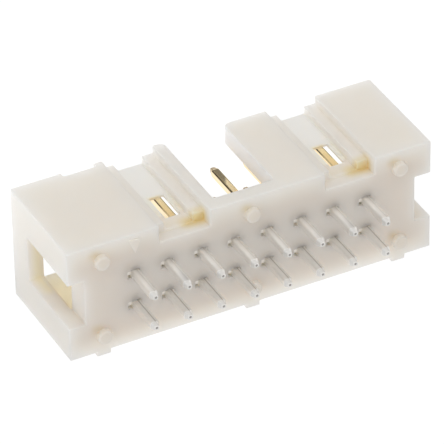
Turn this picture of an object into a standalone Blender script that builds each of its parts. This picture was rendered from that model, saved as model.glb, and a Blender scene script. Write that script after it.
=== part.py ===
"""Shrouded two-row pin header for a circuit board.

The header lies on the ribs of its far wall, as it comes to rest on a table. The contact rows run
along X, the solder tails point to -Y, the mouth for the cable plug faces +Y, and the wall with
the key slot is on top. The origin is the middle of the footprint, on the surface that the ribs
stand on. Everything is in metres.
"""

import math

import bmesh
import bpy
from mathutils import Matrix

MM = 0.001

# Contact grid, its middle measured from the outer face of the far wall
CONTACTS_PER_ROW = 8
PITCH = 2.54 * MM
ROW_SPACING = 2.54 * MM
ROW_HEIGHT = 4.35 * MM

# Square contacts
CONTACT_WIDTH = 0.60 * MM
CONTACT_EDGE_RADIUS = 0.14 * MM
TAIL_LENGTH = 3.10 * MM
TAIL_TAPER = 0.35 * MM
TAIL_TIP_WIDTH = 0.34 * MM
MATING_TIP_DEPTH = 0.40 * MM
MATING_TAPER = 0.45 * MM
MATING_TIP_WIDTH = 0.36 * MM
BARB_START = 0.25 * MM
BARB_LENGTH = 0.90 * MM

# Passages for the contacts through the base, each with a blind slot beside it for the barb
CONTACT_CLEARANCE = 0.05 * MM
BARB_SLOT_WIDTH = 0.30 * MM

# Housing shell
END_MARGIN = 5.08 * MM
HOUSING_DEPTH = 8.80 * MM
HOUSING_HEIGHT = 8.90 * MM
EDGE_RADIUS = 0.07 * MM
BASE_THICKNESS = 2.20 * MM
END_WALL = 1.20 * MM
FAR_WALL = 1.25 * MM
KEY_WALL = 1.45 * MM
CAVITY_CORNER_RADIUS = 0.30 * MM
LEAD_IN = 0.65 * MM

# Key slot through the key wall
KEY_SLOT_WIDTH = 4.60 * MM
KEY_SLOT_END = 1.20 * MM
KEY_SLOT_CORNER_RADIUS = 0.30 * MM
KEY_SLOT_MOUTH_RADIUS = 0.50 * MM

# Latch recesses in the key wall, each centred half a pitch past a contact of its row
RECESS_CONTACTS = (2, 7)
RECESS_WIDTH = 3.86 * MM
RECESS_POCKET_LENGTH = 1.00 * MM
RECESS_POCKET_DEPTH = 1.35 * MM
LEDGE_DEPTH = 0.60 * MM
CHANNEL_WIDTH = 2.16 * MM
CHANNEL_DEPTH = 1.20 * MM
WINDOW_WIDTH = 1.08 * MM
WINDOW_OFFSET = 0.17 * MM
WINDOW_LENGTH = 2.55 * MM

# Notch in the rim of the key wall at the first contact
RIM_NOTCH_WIDTH = 2.45 * MM
RIM_NOTCH_DEPTH = 0.40 * MM
RIM_NOTCH_CORNER_RADIUS = 0.15 * MM

# Slots in the end walls
END_SLOT_HEIGHT = 3.65 * MM
END_SLOT_LENGTH = 6.40 * MM
END_SLOT_CORNER_RADIUS = 0.20 * MM

# Stand-off bosses on the rear face
BOSS_RADIUS = 0.58 * MM
BOSS_HEIGHT = 0.45 * MM
BOSS_ROW_OFFSET = 3.10 * MM
BOSS_DRAFT = 0.04 * MM
BOSS_END_RADIUS = 0.12 * MM

# Ribs under the far wall
RIB_WIDTH = 1.06 * MM
RIB_HEIGHT = 0.35 * MM

# Moulded triangle beside the first contact
MARK_WIDTH = 0.90 * MM
MARK_HEIGHT = 1.10 * MM
MARK_RELIEF = 0.12 * MM
MARK_EDGE_GAP = 0.40 * MM

# Facets
CORNER_SEGMENTS = 4
BEVEL_SEGMENTS = 2
BOSS_SEGMENTS = 20
CONTACT_EDGE_SEGMENTS = 3
SMOOTH_ANGLE = math.radians(40)
BEVEL_ANGLE = math.radians(35)
FLAT_ANGLE = math.radians(1)

# How far a cutter passes the face that it opens, how far cutters run into each other, and how far
# a raised form is sunk into its face
CUT_PAST = 0.50 * MM
CUT_OVERLAP = 0.05 * MM
SINK = 0.20 * MM
MERGE_DISTANCE = 0.0005 * MM

# Stands a flat outline up: its Y becomes Z, and its thickness runs along Y
UPRIGHT = Matrix(((1, 0, 0, 0), (0, 0, -1, 0), (0, 1, 0, 0), (0, 0, 0, 1)))

# Places that follow from the sizes
ROW_SPAN = (CONTACTS_PER_ROW - 1) * PITCH
HALF_LENGTH = ROW_SPAN / 2 + END_MARGIN
REAR_Y = (TAIL_LENGTH - HOUSING_DEPTH) / 2
RIM_Y = REAR_Y + HOUSING_DEPTH
FLOOR_Y = REAR_Y + BASE_THICKNESS
FAR_Z = RIB_HEIGHT
TOP_Z = FAR_Z + HOUSING_HEIGHT
MID_Z = FAR_Z + HOUSING_HEIGHT / 2
ROWS_Z = FAR_Z + ROW_HEIGHT
CAVITY_LOW_Z = FAR_Z + FAR_WALL
CAVITY_HIGH_Z = TOP_Z - KEY_WALL
CAVITY_HALF_LENGTH = HALF_LENGTH - END_WALL
STATION_X = ROW_SPAN / 2 + PITCH


def contact_x(number):
    """X of a contact, counted from 1 at the -X end of its row."""
    return (number - 1) * PITCH - ROW_SPAN / 2


def recess_x(contact):
    """X of the recess that lies between a contact and the next one."""
    return contact_x(contact) + PITCH / 2


def new_collection(name):
    collection = bpy.data.collections.new(name)
    bpy.context.scene.collection.children.link(collection)
    return collection


def new_object(name, mesh, collection):
    piece = bpy.data.objects.new(name, mesh)
    collection.objects.link(piece)
    return piece


def as_cutter(piece):
    """Hide a shape that only cuts or joins another one."""
    piece.hide_render = True
    piece.display_type = "WIRE"
    return piece


def edges_along(bm, axis):
    """Edges of a mesh that run along one of its axes."""
    return [e for e in bm.edges if abs((e.verts[1].co - e.verts[0].co).normalized()[axis]) > 0.99]


def box_mesh(name, low, high, radius=0.0, axis=1):
    """Box between two corners, its edges along one axis rounded."""
    bm = bmesh.new()
    bmesh.ops.create_cube(bm)
    for vert in bm.verts:
        vert.co = [high[i] if vert.co[i] > 0 else low[i] for i in range(3)]
    if radius > 0.0:
        bmesh.ops.bevel(
            bm,
            geom=edges_along(bm, axis),
            offset=radius,
            segments=CORNER_SEGMENTS,
            profile=0.5,
            affect="EDGES",
        )
    mesh = bpy.data.meshes.new(name)
    bm.to_mesh(mesh)
    bm.free()
    return mesh


def box(name, low, high, collection, radius=0.0, axis=1):
    return as_cutter(new_object(name, box_mesh(name, low, high, radius, axis), collection))


def arc(centre, radius, start, end):
    """Points of a circular arc in the outline's plane, both ends included."""
    points = []
    for step in range(CORNER_SEGMENTS + 1):
        angle = math.radians(start + (end - start) * step / CORNER_SEGMENTS)
        points.append((centre[0] + radius * math.cos(angle), centre[1] + radius * math.sin(angle)))
    return points


def outline_mesh(name, points, thickness, matrix):
    """Flat outline given a thickness, welded into one body and moved to its place."""
    curve = bpy.data.curves.new(name, "CURVE")
    curve.dimensions = "2D"
    curve.fill_mode = "BOTH"
    curve.extrude = thickness / 2
    spline = curve.splines.new("POLY")
    spline.points.add(len(points) - 1)
    for point, (x, y) in zip(spline.points, points):
        point.co = (x, y, 0.0, 1.0)
    spline.use_cyclic_u = True
    drawn = new_object(name, curve, bpy.context.scene.collection)
    bpy.context.view_layer.update()
    evaluated = drawn.evaluated_get(bpy.context.evaluated_depsgraph_get())
    mesh = bpy.data.meshes.new_from_object(evaluated)
    bpy.data.objects.remove(drawn, do_unlink=True)
    bm = bmesh.new()
    bm.from_mesh(mesh)
    bmesh.ops.remove_doubles(bm, verts=bm.verts[:], dist=MERGE_DISTANCE)
    bmesh.ops.recalc_face_normals(bm, faces=bm.faces[:])
    bm.to_mesh(mesh)
    bm.free()
    mesh.name = name
    mesh.transform(matrix)
    return mesh


def cut_cavity(collection):
    """Mating cavity. Its mouth flares on three sides, and the thin key wall stays straight."""
    low = (-CAVITY_HALF_LENGTH, FLOOR_Y, CAVITY_LOW_Z)
    high = (CAVITY_HALF_LENGTH, RIM_Y - LEAD_IN, CAVITY_HIGH_Z)
    mesh = box_mesh("cavity", low, high, CAVITY_CORNER_RADIUS)
    bm = bmesh.new()
    bm.from_mesh(mesh)
    mouth = max(bm.faces, key=lambda f: f.calc_center_median().y)
    mouth = bmesh.ops.extrude_discrete_faces(bm, faces=[mouth])["faces"][0]
    flare = LEAD_IN + CUT_PAST
    for vert in mouth.verts:
        vert.co.y += flare
        vert.co.x += math.copysign(flare, vert.co.x)
        if vert.co.z < MID_Z:
            vert.co.z -= flare
    bm.to_mesh(mesh)
    bm.free()
    as_cutter(new_object("cavity", mesh, collection))


def cut_key_slot(collection):
    """Key slot, round at its closed end, with its mouth corners rounded off."""
    half = KEY_SLOT_WIDTH / 2
    closed = REAR_Y + KEY_SLOT_END
    inner = KEY_SLOT_CORNER_RADIUS
    outer = KEY_SLOT_MOUTH_RADIUS
    right = arc((half - inner, closed + inner), inner, 270, 360)
    right += arc((half + outer, RIM_Y - outer), outer, 180, 90)[:-1]
    right += [(half + outer, RIM_Y), (half + outer, RIM_Y + CUT_PAST)]
    left = [(-x, y) for x, y in reversed(right)]
    thickness = KEY_WALL + CUT_PAST + CUT_OVERLAP
    middle = TOP_Z + CUT_PAST - thickness / 2
    mesh = outline_mesh("key_slot", right + left, thickness, Matrix.Translation((0, 0, middle)))
    as_cutter(new_object("key_slot", mesh, collection))


def cut_recess(contact, collection):
    """Latch recess: a pocket at the rear, then a channel between two ledges, with a window."""
    middle = recess_x(contact)
    window = middle + WINDOW_OFFSET
    half = RECESS_WIDTH / 2
    step_y = REAR_Y + RECESS_POCKET_LENGTH
    past_z = TOP_Z + CUT_PAST
    name = "recess_%d_" % contact
    box(
        name + "pocket",
        (middle - half, REAR_Y - CUT_PAST, TOP_Z - RECESS_POCKET_DEPTH),
        (middle + half, step_y, past_z),
        collection,
    )
    box(
        name + "ledges",
        (middle - half, REAR_Y - CUT_PAST, TOP_Z - LEDGE_DEPTH),
        (middle + half, RIM_Y + CUT_PAST, past_z),
        collection,
    )
    box(
        name + "channel",
        (middle - CHANNEL_WIDTH / 2, REAR_Y, TOP_Z - CHANNEL_DEPTH),
        (middle + CHANNEL_WIDTH / 2, RIM_Y + CUT_PAST, past_z),
        collection,
    )
    box(
        name + "window",
        (window - WINDOW_WIDTH / 2, FLOOR_Y, CAVITY_HIGH_Z - CUT_PAST),
        (window + WINDOW_WIDTH / 2, FLOOR_Y + WINDOW_LENGTH, past_z),
        collection,
    )


def cut_rim_notch(collection):
    """Shallow notch in the rim of the key wall that marks the first contact."""
    middle = contact_x(1)
    box(
        "rim_notch",
        (middle - RIM_NOTCH_WIDTH / 2, RIM_Y - RIM_NOTCH_DEPTH, CAVITY_HIGH_Z - CUT_PAST),
        (middle + RIM_NOTCH_WIDTH / 2, RIM_Y + CUT_PAST, TOP_Z + CUT_PAST),
        collection,
        RIM_NOTCH_CORNER_RADIUS,
        axis=2,
    )


def cut_end_slot(side, collection):
    """Slot through an end wall, open at the rear face."""
    near = side * (CAVITY_HALF_LENGTH - CUT_OVERLAP)
    far = side * (HALF_LENGTH + CUT_PAST)
    box(
        "end_slot_left" if side < 0 else "end_slot_right",
        (min(near, far), REAR_Y - CUT_PAST, MID_Z - END_SLOT_HEIGHT / 2),
        (max(near, far), REAR_Y + END_SLOT_LENGTH, MID_Z + END_SLOT_HEIGHT / 2),
        collection,
        END_SLOT_CORNER_RADIUS,
        axis=0,
    )


def add_boss(number, x, z, collection):
    """Slightly tapered round boss, its end rounded, that keeps the rear face off the board."""
    bm = bmesh.new()
    bmesh.ops.create_cone(
        bm,
        cap_ends=True,
        segments=BOSS_SEGMENTS,
        radius1=BOSS_RADIUS,
        radius2=BOSS_RADIUS - BOSS_DRAFT,
        depth=BOSS_HEIGHT + SINK,
    )
    end = max(bm.faces, key=lambda f: f.calc_center_median().z)
    bmesh.ops.bevel(
        bm,
        geom=end.edges[:],
        offset=BOSS_END_RADIUS,
        segments=BEVEL_SEGMENTS,
        profile=0.5,
        affect="EDGES",
    )
    mesh = bpy.data.meshes.new("boss")
    bm.to_mesh(mesh)
    bm.free()
    mesh.transform(Matrix.Translation((x, REAR_Y + (SINK - BOSS_HEIGHT) / 2, z)) @ UPRIGHT)
    as_cutter(new_object("boss_%d" % number, mesh, collection))


def add_mark(collection):
    """Raised triangle on the rear face, pointing at the first contact."""
    half = MARK_WIDTH / 2
    points = [(-half, 0.0), (0.0, -MARK_HEIGHT), (half, 0.0)]
    place = (contact_x(1), REAR_Y + (SINK - MARK_RELIEF) / 2, TOP_Z - MARK_EDGE_GAP)
    mesh = outline_mesh("mark", points, SINK + MARK_RELIEF, Matrix.Translation(place) @ UPRIGHT)
    as_cutter(new_object("mark", mesh, collection))


def cut_contact_hole(number, x, z, collection):
    """Passage through the base for a contact, and a slot from the rear face for its barb."""
    half = CONTACT_WIDTH / 2
    loose = half + CONTACT_CLEARANCE
    slot_end = REAR_Y + BARB_START + BARB_LENGTH + CONTACT_CLEARANCE
    box(
        "hole_%02d" % number,
        (x - loose, REAR_Y - CUT_PAST, z - loose),
        (x + loose, FLOOR_Y + CUT_PAST, z + loose),
        collection,
    )
    box(
        "barb_slot_%02d" % number,
        (x - half - BARB_SLOT_WIDTH, REAR_Y - CUT_PAST, z - half),
        (x - half, slot_end, z + half),
        collection,
    )


def material(name, colour, roughness, metallic):
    finish = bpy.data.materials.new(name)
    finish.use_nodes = True
    shader = finish.node_tree.nodes["Principled BSDF"]
    shader.inputs["Base Color"].default_value = (*colour, 1.0)
    shader.inputs["Roughness"].default_value = roughness
    shader.inputs["Metallic"].default_value = metallic
    finish.diffuse_color = (*colour, 1.0)
    return finish


def boolean(piece, name, operation, collection):
    modifier = piece.modifiers.new(name, "BOOLEAN")
    modifier.operation = operation
    modifier.operand_type = "COLLECTION"
    modifier.collection = collection
    modifier.solver = "EXACT"


def contact_places():
    """Number, X and Z of every contact: the row nearest the key wall first."""
    places = []
    for row, side in enumerate((1, -1)):
        for column in range(1, CONTACTS_PER_ROW + 1):
            number = row * CONTACTS_PER_ROW + column
            places.append((number, contact_x(column), ROWS_Z + side * ROW_SPACING / 2))
    return places


def shell_mesh():
    """Outer prism of the housing: its section across Y, with the ribs that it lies on."""
    points = [(HALF_LENGTH, TOP_Z), (-HALF_LENGTH, TOP_Z), (-HALF_LENGTH, FAR_Z)]
    for x in (-STATION_X, 0.0, STATION_X):
        left = x - RIB_WIDTH / 2
        right = x + RIB_WIDTH / 2
        points += [(left, FAR_Z), (left, 0.0), (right, 0.0), (right, FAR_Z)]
    points.append((HALF_LENGTH, FAR_Z))
    middle = Matrix.Translation((0.0, (REAR_Y + RIM_Y) / 2, 0.0))
    return outline_mesh("housing", points, HOUSING_DEPTH, middle @ UPRIGHT)


def build_housing(parts, plastic):
    """Moulded housing: the shell, what is cut out of it, and what stands on its rear face."""
    cuts = new_collection("housing_cuts")
    raised = new_collection("housing_raised")
    holes = new_collection("contact_holes")
    housing = new_object("housing", shell_mesh(), parts)
    housing.data.materials.append(plastic)

    cut_cavity(cuts)
    cut_key_slot(cuts)
    for contact in RECESS_CONTACTS:
        cut_recess(contact, cuts)
    cut_rim_notch(cuts)
    for side in (-1, 1):
        cut_end_slot(side, cuts)
    for number, x, z in contact_places():
        cut_contact_hole(number, x, z, holes)

    for column, x in enumerate((-STATION_X, 0.0, STATION_X)):
        for row, z in enumerate((MID_Z + BOSS_ROW_OFFSET, MID_Z - BOSS_ROW_OFFSET)):
            add_boss(3 * row + column + 1, x, z, raised)
    add_mark(raised)

    boolean(housing, "openings", "DIFFERENCE", cuts)
    merged = housing.modifiers.new("whole flat faces", "DECIMATE")
    merged.decimate_type = "DISSOLVE"
    merged.angle_limit = FLAT_ANGLE
    rounding = housing.modifiers.new("edge rounding", "BEVEL")
    rounding.width = EDGE_RADIUS
    rounding.segments = BEVEL_SEGMENTS
    rounding.limit_method = "ANGLE"
    rounding.angle_limit = BEVEL_ANGLE
    rounding.use_clamp_overlap = False
    boolean(housing, "bosses and mark", "UNION", raised)
    boolean(housing, "contact holes", "DIFFERENCE", holes)
    cleaned = housing.modifiers.new("cleaning", "WELD")
    cleaned.merge_threshold = MERGE_DISTANCE
    return housing


def taper_end(bm, side, taper, tip_width):
    """Draw one end of the contact out into a blunt point."""
    end = max(bm.faces, key=lambda f: side * f.calc_center_median().y)
    end = bmesh.ops.extrude_discrete_faces(bm, faces=[end])["faces"][0]
    for vert in end.verts:
        vert.co.y += side * taper
        vert.co.x *= tip_width / CONTACT_WIDTH
        vert.co.z *= tip_width / CONTACT_WIDTH


def contact_mesh():
    """Square contact. Its own origin is where its axis crosses the rear face."""
    low = -TAIL_LENGTH + TAIL_TAPER
    high = HOUSING_DEPTH - MATING_TIP_DEPTH - MATING_TAPER
    half = CONTACT_WIDTH / 2
    mesh = box_mesh("contact", (-half, low, -half), (half, high, half))
    bm = bmesh.new()
    bm.from_mesh(mesh)
    bmesh.ops.bevel(
        bm,
        geom=edges_along(bm, 1),
        offset=CONTACT_EDGE_RADIUS,
        segments=CONTACT_EDGE_SEGMENTS,
        profile=0.5,
        affect="EDGES",
    )
    for y in (BARB_START, BARB_START + BARB_LENGTH):
        everything = bm.verts[:] + bm.edges[:] + bm.faces[:]
        bmesh.ops.bisect_plane(bm, geom=everything, plane_co=(0, y, 0), plane_no=(0, 1, 0))
    between = [f for f in bm.faces if BARB_START < f.calc_center_median().y < BARB_START + BARB_LENGTH]
    side = min(between, key=lambda f: f.normal.x)
    barb = bmesh.ops.extrude_discrete_faces(bm, faces=[side])["faces"][0]
    for vert in barb.verts:
        vert.co.x -= BARB_SLOT_WIDTH - CONTACT_CLEARANCE
    taper_end(bm, -1, TAIL_TAPER, TAIL_TIP_WIDTH)
    taper_end(bm, 1, MATING_TAPER, MATING_TIP_WIDTH)
    bmesh.ops.recalc_face_normals(bm, faces=bm.faces[:])
    bm.to_mesh(mesh)
    bm.free()
    mesh.shade_smooth()
    mesh.set_sharp_from_angle(angle=SMOOTH_ANGLE)
    return mesh


def build_contacts(parts, plating):
    """All contacts share one mesh."""
    mesh = contact_mesh()
    mesh.materials.append(plating)
    for number, x, z in contact_places():
        contact = new_object("contact_%02d" % number, mesh, parts)
        contact.location = (x, REAR_Y, z)


def main():
    for leftover in list(bpy.data.objects):
        bpy.data.objects.remove(leftover, do_unlink=True)
    parts = new_collection("board_header")
    plastic = material("ivory_plastic", (0.80, 0.75, 0.66), 0.5, 0.0)
    plating = material("plated_contact", (0.85, 0.70, 0.42), 0.3, 1.0)
    build_housing(parts, plastic)
    build_contacts(parts, plating)


main()
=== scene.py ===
"""Looks of a shrouded two-row pin header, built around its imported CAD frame.

Everything is in metres in the frame's own axes: the solder tails point to -Y, the mating mouth
faces +Y, and the header lies on the ribs of its far wall on the floor at Z 0.
"""

import math

import bpy
from mathutils import Matrix, Vector


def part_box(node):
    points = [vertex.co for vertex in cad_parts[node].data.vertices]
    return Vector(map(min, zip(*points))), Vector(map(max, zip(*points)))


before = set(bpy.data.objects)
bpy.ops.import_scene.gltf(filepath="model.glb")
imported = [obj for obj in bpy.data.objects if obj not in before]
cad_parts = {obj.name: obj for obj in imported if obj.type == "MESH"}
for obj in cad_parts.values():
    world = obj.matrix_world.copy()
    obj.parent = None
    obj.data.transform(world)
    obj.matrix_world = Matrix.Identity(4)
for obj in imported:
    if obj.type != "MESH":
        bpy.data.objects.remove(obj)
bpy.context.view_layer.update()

MM = 0.001


def mm(*lengths):
    """Lengths given in millimetres, in metres."""
    return tuple(length * MM for length in lengths)


# Sizes that the frame's boxes show
contact_low, contact_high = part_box("contact_01")
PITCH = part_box("contact_02")[1].x - contact_high.x
ROWS_Z = (contact_high.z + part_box("contact_09")[0].z) / 2
TAIL_END_Y = contact_low.y
MATING_END_Y = contact_high.y
HALF_LENGTH, RIM_Y, TOP_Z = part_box("housing")[1]

# Sizes inside those boxes, as the part has them
HOUSING_DEPTH = 8.80 * MM
HOUSING_HEIGHT = 8.90 * MM
BASE_THICKNESS = 2.20 * MM
END_WALL = 1.20 * MM
FAR_WALL = 1.25 * MM
KEY_WALL = 1.45 * MM
KEY_SLOT_WIDTH = 4.60 * MM
KEY_SLOT_END = 1.20 * MM
END_SLOT_LENGTH = 6.40 * MM
BOSS_ROW_OFFSET = 3.10 * MM
CONTACT_WIDTH = 0.60 * MM

# Places that follow from the sizes
REAR_Y = RIM_Y - HOUSING_DEPTH
FLOOR_Y = REAR_Y + BASE_THICKNESS
MID_Z = TOP_Z - HOUSING_HEIGHT / 2
CAVITY_LOW_Z = TOP_Z - HOUSING_HEIGHT + FAR_WALL
CAVITY_HIGH_Z = TOP_Z - KEY_WALL
CHANNEL_Z = CAVITY_HIGH_Z + 0.10 * MM
FIRST_CONTACT_X = -3.5 * PITCH
RECESSES_X = (-2 * PITCH, 3 * PITCH)
BOSSES_X = (-4.5 * PITCH, 0.0, 4.5 * PITCH)
BOSSES_Z = (MID_Z - BOSS_ROW_OFFSET, MID_Z + BOSS_ROW_OFFSET)

# Block round both rows of contacts, half a pitch past the last ones
ROWS_MIDDLE = (0.0, REAR_Y, ROWS_Z)
ROWS_HALF_X = 4 * PITCH
ROWS_HALF_Z = PITCH
ROWS_BLEND = 0.20 * MM

# The range that most of a noise lies in
NOISE_SPAN = (0.3, 0.7)


def new_material(name):
    """A material with an empty node tree, and that tree."""
    made = bpy.data.materials.new(name)
    made.use_nodes = True
    tree = made.node_tree
    tree.nodes.clear()
    return made, tree


def node(tree, kind, settings=None, inputs=None):
    """Add a node, set its properties, and set or link its inputs."""
    made = tree.nodes.new(kind)
    for key, value in (settings or {}).items():
        setattr(made, key, value)
    for key, value in (inputs or {}).items():
        if isinstance(value, bpy.types.NodeSocket):
            tree.links.new(value, made.inputs[key])
        else:
            made.inputs[key].default_value = value
    return made


def maths(tree, operation, a, b=0.0, clamp=False):
    """Result of a maths operation, which leaves b unused where it takes one value."""
    made = node(tree, "ShaderNodeMath", {"operation": operation, "use_clamp": clamp}, {0: a, 1: b})
    return made.outputs[0]


def mixed(tree, factor, a, b):
    """Colour a turning into colour b."""
    made = node(tree, "ShaderNodeMix", {"data_type": "RGBA"}, {0: factor, 6: a, 7: b})
    return made.outputs[2]


def noise(tree, where, scale, detail=2.0, roughness=0.5):
    """Noise from 0 to 1, with about as many waves in a metre as the scale says."""
    inputs = {"Vector": where, "Scale": scale, "Detail": detail, "Roughness": roughness}
    return node(tree, "ShaderNodeTexNoise", None, inputs).outputs["Fac"]


def ranged(tree, value, low, high, to_low=0.0, to_high=1.0, smooth=False):
    """The value, carried over from the range low to high, and held at the new range's ends."""
    settings = {"interpolation_type": "SMOOTHSTEP" if smooth else "LINEAR"}
    inputs = {"Value": value, 1: low, 2: high, 3: to_low, 4: to_high}
    return node(tree, "ShaderNodeMapRange", settings, inputs).outputs[0]


def places(tree):
    """The place of a shaded point as a vector, and its X, Y and Z."""
    where = node(tree, "ShaderNodeTexCoord").outputs["Object"]
    return where, node(tree, "ShaderNodeSeparateXYZ", None, {0: where}).outputs


def soft_box(tree, axes, middle, half, blend):
    """1 inside a box of the given middle and half sizes, falling smoothly to 0 over the blend."""
    level = None
    for axis, centre, reach in zip("XYZ", middle, half):
        away = maths(tree, "ABSOLUTE", maths(tree, "SUBTRACT", axes[axis], centre))
        inside = ranged(tree, away, reach + blend / 2, reach - blend / 2, smooth=True)
        level = inside if level is None else maths(tree, "MULTIPLY", level, inside)
    return level


def tinted(tree, colour, axes, zone, tint, share=1.0):
    """The colour, turned to a tint in a zone: a soft box's middle, half sizes and blend."""
    level = maths(tree, "MULTIPLY", soft_box(tree, axes, *zone), share)
    return mixed(tree, level, colour, tint)


def from_contact(tree, axes):
    """Signed distances in X and Z from the middle of the nearest contact."""
    gaps = []
    for axis, middle in (("X", 0.0), ("Z", ROWS_Z)):
        turns = maths(tree, "DIVIDE", maths(tree, "SUBTRACT", axes[axis], middle), PITCH)
        share = maths(tree, "SUBTRACT", maths(tree, "FRACT", turns), 0.5)
        gaps.append(maths(tree, "MULTIPLY", share, PITCH))
    return gaps


def distance(tree, across, over, middle=(0.0, 0.0)):
    """Distance from a line along the nearest contact, which lies at an X and Z from its middle."""
    squares = []
    for gap, place in zip((across, over), middle):
        aside = maths(tree, "SUBTRACT", gap, place)
        squares.append(maths(tree, "MULTIPLY", aside, aside))
    return maths(tree, "SQRT", maths(tree, "ADD", *squares))


def stripe(tree, across, middle, inner, outer, level=1.0):
    """A stripe along a contact: the level up to the inner distance from its middle, 0 past the outer."""
    aside = maths(tree, "ABSOLUTE", maths(tree, "SUBTRACT", across, middle))
    return ranged(tree, aside, inner, outer, to_low=level, to_high=0.0, smooth=True)


def finish_surface(tree, inputs):
    """End a material in a Principled shader with these inputs."""
    shader = node(tree, "ShaderNodeBsdfPrincipled", None, inputs)
    node(tree, "ShaderNodeOutputMaterial", None, {"Surface": shader.outputs[0]})


# Colours of the moulding, and of the light and shade painted on it
IVORY = (0.88, 0.835, 0.77, 1)
IVORY_PALE = (0.90, 0.86, 0.80, 1)
IVORY_REAR_SHADE = (0.80, 0.745, 0.685, 1)
IVORY_BOSS = (0.79, 0.71, 0.61, 1)
IVORY_TRIANGLE_LIGHT = (0.93, 0.86, 0.785, 1)
IVORY_KEY_SLOT_LIGHT = (0.985, 0.975, 0.955, 1)
IVORY_BARB_SLOT_LIGHT = (0.96, 0.88, 0.78, 1)
AMBER_CAVITY_LIGHT = (1.0, 0.88, 0.725, 1)
AMBER_END_SLOT_LIGHT = (1.0, 0.88, 0.67, 1)
AMBER_POCKET_SHADE = (0.80, 0.66, 0.37, 1)
AMBER_POCKET_WALL_SHADE = (0.84, 0.69, 0.48, 1)
AMBER_WINDOW_END_LIGHT = (0.90, 0.72, 0.46, 1)
AMBER_BOSS_SHADE = (0.74, 0.64, 0.46, 1)
FILM_LIGHT_AT_RIM = (0.975, 0.945, 0.89, 1)
FILM_LIGHT_AT_BASE = (0.94, 0.89, 0.79, 1)
CHANNEL_SHADE_OVER_BASE = (0.84, 0.75, 0.62, 1)
TAIL_SHADE = (0.78, 0.64, 0.50, 1)

# How much of some of those tints shows
REAR_SHADE_SHARE = 0.8
BOSS_SHARE = 0.7
CAVITY_LIGHT_SHARE = 0.9
CHANNEL_SHADE_SHARE = 0.7
BOSS_SHADE_SHARE = 0.8
TAIL_SHADE_SHARE = 0.36

# How far light scatters in the walls, how much further from the cavity's side, and in thin forms
SCATTER = 2.20 * MM
CAVITY_SCATTER = 0.80 * MM
THIN_SCATTER = 0.35 * MM
SCATTER_BY_COLOUR = (1.0, 0.95, 0.90)

# Sheen of the moulding, its clouding and its grain, with scales in waves in a metre
PLASTIC_ROUGHNESS = (0.48, 0.62)
PLASTIC_SPECULAR = 0.3
CLOUD_SCALE = 160.0
CLOUD_DETAIL = 3.0
GRAIN_SCALE = 9000.0
GRAIN_DETAIL = 4.0
GRAIN_COARSENESS = 0.6
GRAIN_HEIGHT = 0.012 * MM
GRAIN_STRENGTH = 0.25

# How far the cavity's painted amber light reaches into its walls
CAVITY_SKIN = 0.10 * MM


def tint_depths(tree, axes, colour):
    """Painted shade on the thick base, painted amber light in the cavity and the end slots, and how far
    a point is in the cavity.
    """
    # painted shade: the rear face over the thick base is darker and warmer, fading towards its edges
    half = (HALF_LENGTH - 0.37 * MM, 0.80 * MM, 3.50 * MM)
    base = ((0.0, REAR_Y, MID_Z - 0.05 * MM), half, 1.6 * MM)
    colour = tinted(tree, colour, axes, base, IVORY_REAR_SHADE, REAR_SHADE_SHARE)
    # painted light: the cavity and the end slots are tinted amber, standing in for the light that has
    # crossed a wall to reach them
    half = (
        HALF_LENGTH - END_WALL + CAVITY_SKIN,
        (RIM_Y - FLOOR_Y) / 2 + CAVITY_SKIN,
        (CAVITY_HIGH_Z - CAVITY_LOW_Z) / 2 + CAVITY_SKIN,
    )
    middle = (0.0, (FLOOR_Y + RIM_Y) / 2, (CAVITY_LOW_Z + CAVITY_HIGH_Z) / 2)
    deep = soft_box(tree, axes, middle, half, 0.2 * MM)
    colour = mixed(tree, maths(tree, "MULTIPLY", deep, CAVITY_LIGHT_SHARE), colour, AMBER_CAVITY_LIGHT)
    slot_x = HALF_LENGTH - 0.82 * MM
    for x in (-slot_x, slot_x):
        middle = (x, REAR_Y + END_SLOT_LENGTH - 0.35 * MM, MID_Z)
        zone = (middle, mm(0.35, 1.60, 2.30), 1.1 * MM)
        colour = tinted(tree, colour, axes, zone, AMBER_END_SLOT_LIGHT)
    return colour, deep


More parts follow.
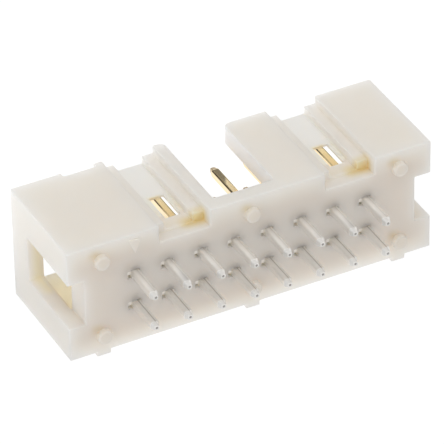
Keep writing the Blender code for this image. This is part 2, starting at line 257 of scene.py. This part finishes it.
def tint_recesses(tree, axes, colour):
    """Painted light and shade in both latch recesses, and where the floors of their channels are thin.
    """
    # the floors of the channels are so thin that they scatter light back at once
    thin = None
    for x in RECESSES_X:
        middle, half = (x, RIM_Y - 2.35 * MM, CHANNEL_Z), mm(1.10, 4.00, 0.30)
        film = soft_box(tree, axes, middle, half, 0.1 * MM)
        thin = film if thin is None else maths(tree, "MAXIMUM", thin, film)
    # painted light: the thin floors are paler, standing in for the light that shines through them, and
    # yellower towards the base
    near_base = ranged(tree, axes["Y"], FLOOR_Y + 3.25 * MM, FLOOR_Y + 0.85 * MM)
    colour = mixed(tree, thin, colour, mixed(tree, near_base, FILM_LIGHT_AT_RIM, FILM_LIGHT_AT_BASE))
    for x in RECESSES_X:
        # painted shade: the channel's floor is darker and warmer where it lies over the base
        zone = ((x, FLOOR_Y - 0.45 * MM, CHANNEL_Z), mm(0.90, 0.70, 0.30), 0.5 * MM)
        colour = tinted(tree, colour, axes, zone, CHANNEL_SHADE_OVER_BASE, CHANNEL_SHADE_SHARE)
        # painted shade: amber darkening in the corner where the right ledge meets the pocket
        middle = (x + 1.20 * MM, REAR_Y + 1.05 * MM, TOP_Z - 1.05 * MM)
        zone = (middle, mm(0.90, 0.40, 0.60), 1.0 * MM)
        colour = tinted(tree, colour, axes, zone, AMBER_POCKET_SHADE)
        # painted light: amber glow at the window's end towards the mouth
        zone = ((x, FLOOR_Y + 2.50 * MM, CHANNEL_Z), mm(0.45, 0.10, 0.20), 0.4 * MM)
        colour = tinted(tree, colour, axes, zone, AMBER_WINDOW_END_LIGHT)
        # painted shade: smaller amber spot at the pocket's left wall
        middle = (x - 1.90 * MM, REAR_Y + 0.95 * MM, TOP_Z - 0.95 * MM)
        zone = (middle, mm(0.10, 0.15, 0.30), 0.4 * MM)
        colour = tinted(tree, colour, axes, zone, AMBER_POCKET_WALL_SHADE)
    return colour, thin


def tint_rear(tree, axes, across, over, colour):
    """Tints and painted light and shade on the rear face, and where the raised triangle is."""
    # the bosses are a little warmer than the face they stand on
    proud = (REAR_Y - 0.05 * MM, REAR_Y - 0.25 * MM)
    colour = mixed(tree, ranged(tree, axes["Y"], *proud, to_high=BOSS_SHARE), colour, IVORY_BOSS)
    # painted shade: faint amber darkening above each boss, towards -X, but for the one that the tails
    # hide
    for x in BOSSES_X:
        for z in BOSSES_Z:
            if x == 0.0 and z < MID_Z:
                continue
            middle = (x - 0.45 * MM, REAR_Y, z + 0.60 * MM)
            zone = (middle, mm(0.35, 0.20, 0.25), 0.8 * MM)
            colour = tinted(tree, colour, axes, zone, AMBER_BOSS_SHADE, BOSS_SHADE_SHARE)
    # shade round the root of each tail, deepest above it on its -X side
    root = distance(tree, across, over, mm(-0.22, 0.32))
    shade = ranged(tree, root, *mm(1.10, 0.10), to_high=TAIL_SHADE_SHARE, smooth=True)
    near = soft_box(tree, axes, ROWS_MIDDLE, (ROWS_HALF_X, 0.30 * MM, ROWS_HALF_Z), ROWS_BLEND)
    colour = mixed(tree, maths(tree, "MULTIPLY", shade, near), colour, TAIL_SHADE)
    # painted light: the raised triangle is pale, standing in for the light that leaves its edges on
    # every side
    middle = (FIRST_CONTACT_X, REAR_Y - 0.12 * MM, TOP_Z - 0.95 * MM)
    mark = soft_box(tree, axes, middle, mm(0.60, 0.08, 0.80), 0.02 * MM)
    return mixed(tree, mark, colour, IVORY_TRIANGLE_LIGHT), mark


def tint_slots(tree, axes, across, over, colour):
    """Painted light on the key slot's side walls and in the slots beside the contacts."""
    # painted light: the side walls of the key slot are paler, standing in for the light that leaves them
    # at their free edges
    beside = {"X": maths(tree, "ABSOLUTE", axes["X"]), "Y": axes["Y"], "Z": axes["Z"]}
    middle = (KEY_SLOT_WIDTH / 2, (REAR_Y + KEY_SLOT_END + RIM_Y) / 2, TOP_Z - 0.65 * MM)
    zone = (middle, mm(0.05, 3.70, 0.85), 0.06 * MM)
    colour = tinted(tree, colour, beside, zone, IVORY_KEY_SLOT_LIGHT)
    # painted light: the slots beside the contacts are paler and warmer, standing in for the light that
    # has crossed the base
    around = {"X": across, "Y": axes["Y"], "Z": over}
    middle = (0.0, REAR_Y + 0.80 * MM, 0.0)
    hole = soft_box(tree, around, middle, mm(0.72, 0.65, 0.42), 0.1 * MM)
    rows = soft_box(tree, axes, ROWS_MIDDLE, (ROWS_HALF_X, 4.00 * MM, ROWS_HALF_Z), ROWS_BLEND)
    return mixed(tree, maths(tree, "MULTIPLY", hole, rows), colour, IVORY_BARB_SLOT_LIGHT)


def plastic():
    """Translucent ivory moulding compound: milky, with a fine moulded grain, and with painted amber
    light in its depth and painted light and shade on its faces.
    """
    made, tree = new_material("ivory_plastic")
    where, axes = places(tree)
    across, over = from_contact(tree, axes)
    cloud = noise(tree, where, CLOUD_SCALE, CLOUD_DETAIL)
    colour = mixed(tree, ranged(tree, cloud, *NOISE_SPAN), IVORY, IVORY_PALE)
    colour, deep = tint_depths(tree, axes, colour)
    colour, thin = tint_recesses(tree, axes, colour)
    colour, mark = tint_rear(tree, axes, across, over, colour)
    colour = tint_slots(tree, axes, across, over, colour)
    scatter = maths(tree, "ADD", SCATTER, maths(tree, "MULTIPLY", deep, CAVITY_SCATTER))
    short = maths(tree, "MAXIMUM", thin, mark)
    grain = noise(tree, where, GRAIN_SCALE, GRAIN_DETAIL, GRAIN_COARSENESS)
    relief = {"Strength": GRAIN_STRENGTH, "Distance": GRAIN_HEIGHT, "Height": grain}
    inputs = {
        "Base Color": colour,
        "Roughness": ranged(tree, grain, *NOISE_SPAN, *PLASTIC_ROUGHNESS),
        "Subsurface Weight": 1.0,
        "Subsurface Radius": SCATTER_BY_COLOUR,
        "Subsurface Scale": ranged(tree, short, 0.0, 1.0, scatter, THIN_SCATTER),
        "Specular IOR Level": PLASTIC_SPECULAR,
        "Normal": node(tree, "ShaderNodeBump", None, relief).outputs[0],
    }
    finish_surface(tree, inputs)
    return made


# Colours of the contacts, and of the reflections and shade painted on them
TIN = (0.91, 0.90, 0.88, 1)
TIN_PALE = (0.96, 0.95, 0.93, 1)
TIN_BARB = (0.98, 0.93, 0.86, 1)
TIN_DARK_REFLECTION = (0.42, 0.40, 0.37, 1)
TIN_POINT_SHADE = (0.63, 0.62, 0.60, 1)
TIN_END = (0.76, 0.745, 0.72, 1)
TIN_PIT = (0.22, 0.205, 0.19, 1)
GOLD = (0.99, 0.81, 0.50, 1)
GOLD_PALE = (1.0, 0.86, 0.58, 1)
GOLD_EDGE_REFLECTION = (0.40, 0.29, 0.16, 1)
GOLD_POINT_REFLECTION = (0.50, 0.38, 0.23, 1)

# How much of some of those tints shows, and how much the barb and the painted highlight line are no
# metal
REFLECTION_SHARE_BELOW = 0.6
REFLECTION_SHARE_ABOVE = 0.2
POINT_SHADE_SHARES = (0.8, 0.1)
TIN_PIT_SHARE = 0.9
GOLD_EDGE_REFLECTION_SHARE = 0.50
GOLD_POINT_REFLECTION_SHARE = 0.85
BARB_DULLNESS = 0.6
HIGHLIGHT_DULLNESS = 0.33

TIN_ROUGHNESS = 0.42
GOLD_ROUGHNESS = 0.16

# Where tin gives way to gold, from the rear face, and how much that edge wanders
GOLD_START = mm(1.70, 1.90)
EDGE_WANDER = 0.15 * MM
EDGE_SCALE = 2500.0

# Marks of the drawing: waves in a metre across the wire, their share along it, and their height
DRAWN_SCALE = 14000.0
DRAWN_DETAIL = 3.0
DRAWN_STRETCH = 0.06
DRAWN_HEIGHT = 0.006 * MM
DRAWN_STRENGTH = 0.3


def tin_colour(tree, axes, across, over, drawn, barb, upper):
    """Tin of the solder tails, with a painted dark reflection along them, painted shade on their point,
    and their pitted cut end.
    """
    tin = mixed(tree, drawn, TIN, TIN_PALE)
    tin = mixed(tree, barb, tin, TIN_BARB)
    # painted reflection: a dark line along the tail, standing in for the shaded wall that its top face
    # mirrors, stronger on the lower row
    line = stripe(tree, across, 0.09 * MM, inner=0.02 * MM, outer=0.07 * MM)
    share = ranged(tree, upper, 0.0, 1.0, REFLECTION_SHARE_BELOW, REFLECTION_SHARE_ABOVE)
    tin = mixed(tree, maths(tree, "MULTIPLY", line, share), tin, TIN_DARK_REFLECTION)
    # painted shade: the tapered point is darker, least on its +X side where the light falls, and its cut
    # end has a pit in the middle
    point = ranged(tree, axes["Y"], TAIL_END_Y + 0.36 * MM, TAIL_END_Y + 0.30 * MM)
    share = ranged(tree, across, *mm(0.02, 0.14), *POINT_SHADE_SHARES)
    tin = mixed(tree, maths(tree, "MULTIPLY", point, share), tin, TIN_POINT_SHADE)
    end = ranged(tree, axes["Y"], TAIL_END_Y + 0.03 * MM, TAIL_END_Y + 0.01 * MM)
    tin = mixed(tree, end, tin, TIN_END)
    middle = distance(tree, across, over)
    pit = ranged(tree, middle, *mm(0.12, 0.06), to_high=TIN_PIT_SHARE, smooth=True)
    return mixed(tree, maths(tree, "MULTIPLY", end, pit), tin, TIN_PIT)


def gold_colour(tree, axes, across, over, drawn):
    """Gold of the mating ends, with painted dark reflections on their upper -X edge and on their coined
    point.
    """
    gold = mixed(tree, drawn, GOLD, GOLD_PALE)
    # painted reflection: a dark line along the upper -X edge, standing in for the dark surroundings that
    # the rounded edge mirrors
    edge = distance(tree, across, over, mm(-0.27, 0.27))
    edge = ranged(tree, edge, *mm(0.05, 0.10), to_low=GOLD_EDGE_REFLECTION_SHARE, to_high=0.0, smooth=True)
    gold = mixed(tree, edge, gold, GOLD_EDGE_REFLECTION)
    # painted reflection: the coined point is darker, standing in for the dark room beyond the mouth that
    # it mirrors
    coined = (MATING_END_Y - 0.42 * MM, MATING_END_Y - 0.30 * MM)
    point = ranged(tree, axes["Y"], *coined, to_high=GOLD_POINT_REFLECTION_SHARE)
    return mixed(tree, point, gold, GOLD_POINT_REFLECTION)


def plating():
    """Contact finish: gold on the mating end, tin on the solder tail, met inside the base."""
    made, tree = new_material("contact_plating")
    where, axes = places(tree)
    across, over = from_contact(tree, axes)
    wander = maths(tree, "MULTIPLY", noise(tree, where, EDGE_SCALE), EDGE_WANDER)
    edge = maths(tree, "ADD", axes["Y"], wander)
    golden = ranged(tree, edge, REAR_Y + GOLD_START[0], REAR_Y + GOLD_START[1])
    stretch = {"Vector": where, "Scale": (1.0, DRAWN_STRETCH, 1.0)}
    stretched = node(tree, "ShaderNodeMapping", None, stretch).outputs[0]
    drawn = noise(tree, stretched, DRAWN_SCALE, DRAWN_DETAIL)
    # the barb stands past the side of the wire, and is duller than the faces that were drawn
    side = maths(tree, "ABSOLUTE", across)
    barb = ranged(tree, side, CONTACT_WIDTH / 2, CONTACT_WIDTH / 2 + 0.02 * MM)
    upper = ranged(tree, axes["Z"], ROWS_Z - 0.10 * MM, ROWS_Z + 0.10 * MM)
    # painted highlight: a less metallic line along the tails of the upper row, which catches the light
    # from above
    painted_highlight = stripe(tree, across, -0.11 * MM, 0.05 * MM, 0.12 * MM, HIGHLIGHT_DULLNESS)
    metallic = maths(tree, "SUBTRACT", 1.0, maths(tree, "MULTIPLY", painted_highlight, upper))
    dull = maths(tree, "MULTIPLY", barb, BARB_DULLNESS)
    metallic = maths(tree, "SUBTRACT", metallic, dull, clamp=True)
    tin = tin_colour(tree, axes, across, over, drawn, barb, upper)
    gold = gold_colour(tree, axes, across, over, drawn)
    relief = {"Strength": DRAWN_STRENGTH, "Distance": DRAWN_HEIGHT, "Height": drawn}
    inputs = {
        "Base Color": mixed(tree, golden, tin, gold),
        "Metallic": maths(tree, "MAXIMUM", golden, metallic),
        "Roughness": ranged(tree, golden, 0.0, 1.0, TIN_ROUGHNESS, GOLD_ROUGHNESS),
        "Normal": node(tree, "ShaderNodeBump", None, relief).outputs[0],
    }
    finish_surface(tree, inputs)
    return made


def background_rays(tree):
    """1 for the rays that see the white background: from the camera, a reflection or through glass."""
    path = node(tree, "ShaderNodeLightPath")
    seen = maths(tree, "MAXIMUM", path.outputs["Is Camera Ray"], path.outputs["Is Glossy Ray"])
    return maths(tree, "MAXIMUM", seen, path.outputs["Is Transmission Ray"])


# Light table: what it scatters back, its glow, and what some parts of it add to the glow
TABLE_TONE = (0.35, 0.35, 0.35, 1)
TABLE_GLOW = 0.50
UNDER_GLOW = 0.70
BEYOND_GLOW = 0.90
LEFT_GLOW = 0.09
UNDER_ZONE = (mm(0.0, 1.5, 0.0), mm(13.0, 3.5, 1.0), 2.0 * MM)
BEYOND_Y = mm(9.5, 13.0)
LEFT_X = mm(-15.0, -24.0)

# The floor as the background shows it, and half its width
FLOOR_TONE = (0.25, 0.25, 0.25, 1)
FLOOR_GLOW = 0.86
FLOOR_HALF = 3.0


def glowing_floor(tree, tone, glow):
    """Shader of a matte floor that also glows."""
    matte = node(tree, "ShaderNodeBsdfDiffuse", None, {"Color": tone})
    light = node(tree, "ShaderNodeEmission", None, {"Strength": glow})
    both = node(tree, "ShaderNodeAddShader", None, {0: matte.outputs[0], 1: light.outputs[0]})
    return both.outputs[0]


def floor_material():
    """White floor for the rays that see the background, and a light table for all others."""
    made, tree = new_material("floor_white")
    axes = places(tree)[1]
    under = maths(tree, "MULTIPLY", soft_box(tree, axes, *UNDER_ZONE), UNDER_GLOW)
    beyond = ranged(tree, axes["Y"], *BEYOND_Y, to_high=BEYOND_GLOW, smooth=True)
    left = ranged(tree, axes["X"], *LEFT_X, to_high=LEFT_GLOW, smooth=True)
    glow = TABLE_GLOW
    for added in (beyond, under, left):
        glow = maths(tree, "ADD", glow, added)
    table = glowing_floor(tree, TABLE_TONE, glow)
    shown = glowing_floor(tree, FLOOR_TONE, FLOOR_GLOW)
    both = node(tree, "ShaderNodeMixShader", None, {0: background_rays(tree), 1: table, 2: shown})
    node(tree, "ShaderNodeOutputMaterial", None, {"Surface": both.outputs[0]})
    return made


def make_floor():
    """The square floor that the header lies on."""
    mesh = bpy.data.meshes.new("floor")
    signs = ((-1, -1), (1, -1), (1, 1), (-1, 1))
    mesh.from_pydata([(x * FLOOR_HALF, y * FLOOR_HALF, 0) for x, y in signs], [], [(0, 1, 2, 3)])
    floor = bpy.data.objects.new("floor", mesh)
    bpy.context.scene.collection.objects.link(floor)
    mesh.materials.append(floor_material())


# Light of the studio: its level all round, and what is added from one side to the other
ROOM_LEVEL = 0.72
RIGHT_TO_LEFT = (-0.38, 0.25)
HORIZON_TO_TOP = (0.0, 0.65)
REAR_TO_MOUTH = (-0.35, 0.24)

# Its tint on the +X side, and on the -X side from this X of the direction on
WARM_LIGHT = (1.0, 0.985, 0.96, 1)
COOL_LIGHT = (0.985, 1.0, 1.03, 1)
COOL_X = -0.9

# Dark fields of the room beyond the mouth: direction, cosines at the outer and inner edge, level
DARK_END = ((0.36, 0.80, 0.48), (0.84, 0.93), 0.2207)
DARK_CORNER = ((-0.59, 0.72, 0.36), (0.74, 0.90), 0.03)

# White backdrop, and the sines of the angles above the horizon where it starts to fade and ends
BACKDROP_WHITE = (1, 1, 1, 1)
BACKDROP_TOP = (0.12, 0.22)


def dark_field(tree, where, level, field):
    """The level of the light, turned down towards a dark field."""
    direction, edge, dark = field
    facing = node(tree, "ShaderNodeVectorMath", {"operation": "DOT_PRODUCT"}, {0: where, 1: direction})
    return ranged(tree, facing.outputs["Value"], *edge, to_low=level, to_high=dark, smooth=True)


def make_world():
    """Soft studio, brightest from -X and above, with the dark end of the room beyond +Y."""
    world = bpy.data.worlds.new("studio")
    bpy.context.scene.world = world
    world.use_nodes = True
    tree = world.node_tree
    tree.nodes.clear()
    where = node(tree, "ShaderNodeTexCoord").outputs["Generated"]
    axes = node(tree, "ShaderNodeSeparateXYZ", None, {0: where}).outputs
    level = maths(tree, "ADD", ROOM_LEVEL, ranged(tree, axes["X"], 1.0, -1.0, *RIGHT_TO_LEFT))
    level = maths(tree, "ADD", level, ranged(tree, axes["Z"], 0.0, 1.0, *HORIZON_TO_TOP))
    level = maths(tree, "ADD", level, ranged(tree, axes["Y"], -1.0, 1.0, *REAR_TO_MOUTH))
    level = dark_field(tree, where, level, DARK_END)
    level = dark_field(tree, where, level, DARK_CORNER)
    tint = mixed(tree, ranged(tree, axes["X"], 0.0, COOL_X), WARM_LIGHT, COOL_LIGHT)
    studio = node(tree, "ShaderNodeBackground", None, {"Color": tint, "Strength": level})
    white = node(tree, "ShaderNodeBackground", None, {"Color": BACKDROP_WHITE, "Strength": 1.0})
    # the white backdrop stands up from the horizon, under the studio's light and dark fields
    backdrop = ranged(tree, axes["Z"], *BACKDROP_TOP, to_low=1.0, to_high=0.0, smooth=True)
    backdrop = maths(tree, "MULTIPLY", backdrop, background_rays(tree))
    inputs = {0: backdrop, 1: studio.outputs[0], 2: white.outputs[0]}
    both = node(tree, "ShaderNodeMixShader", None, inputs)
    node(tree, "ShaderNodeOutputWorld", None, {"Surface": both.outputs[0]})


# Camera as fitted to the photograph: angles in radians, lengths in millimetres
CAMERA_AZIMUTH = -0.464732
CAMERA_ELEVATION = 0.622581
CAMERA_ROLL = -0.020308
CAMERA_TARGET = Vector((0.0, 1.15, 4.85))
SHIFT_RIGHT = -0.237881
SHIFT_UP = -0.135593
FOCAL_PX = 4553.86
IMAGE_PX = 444
PX_PER_MM = 14.489053
SENSOR_WIDTH = 36.0

# The nearest and furthest that it sees, in metres
CLIP_START = 0.01
CLIP_END = 10.0


def make_camera():
    """Camera at the photograph's angle, fitted to the header's corners and contacts."""
    flat = math.cos(CAMERA_ELEVATION)
    back = Vector(
        (
            math.sin(CAMERA_AZIMUTH) * flat,
            -math.cos(CAMERA_AZIMUTH) * flat,
            math.sin(CAMERA_ELEVATION),
        )
    )
    level_right = Vector((math.cos(CAMERA_AZIMUTH), math.sin(CAMERA_AZIMUTH), 0.0))
    level_up = back.cross(level_right)
    right = math.cos(CAMERA_ROLL) * level_right + math.sin(CAMERA_ROLL) * level_up
    up = math.cos(CAMERA_ROLL) * level_up - math.sin(CAMERA_ROLL) * level_right
    place = CAMERA_TARGET + back * (FOCAL_PX / PX_PER_MM) + right * SHIFT_RIGHT + up * SHIFT_UP
    lens = bpy.data.cameras.new("camera")
    lens.sensor_width = SENSOR_WIDTH
    lens.lens = FOCAL_PX * SENSOR_WIDTH / IMAGE_PX
    lens.clip_start = CLIP_START
    lens.clip_end = CLIP_END
    camera = bpy.data.objects.new("camera", lens)
    bpy.context.scene.collection.objects.link(camera)
    turn = Matrix((right, up, back)).transposed().to_4x4()
    camera.matrix_world = Matrix.Translation(place * MM) @ turn
    bpy.context.scene.camera = camera


def dress(name, material):
    """Give a CAD node a finished material."""
    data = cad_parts[name].data
    data.materials.clear()
    data.materials.append(material)


bpy.context.scene.view_settings.view_transform = "Standard"
make_camera()
make_world()
make_floor()
ivory = plastic()
metal = plating()
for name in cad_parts:
    dress(name, ivory if name == "housing" else metal)
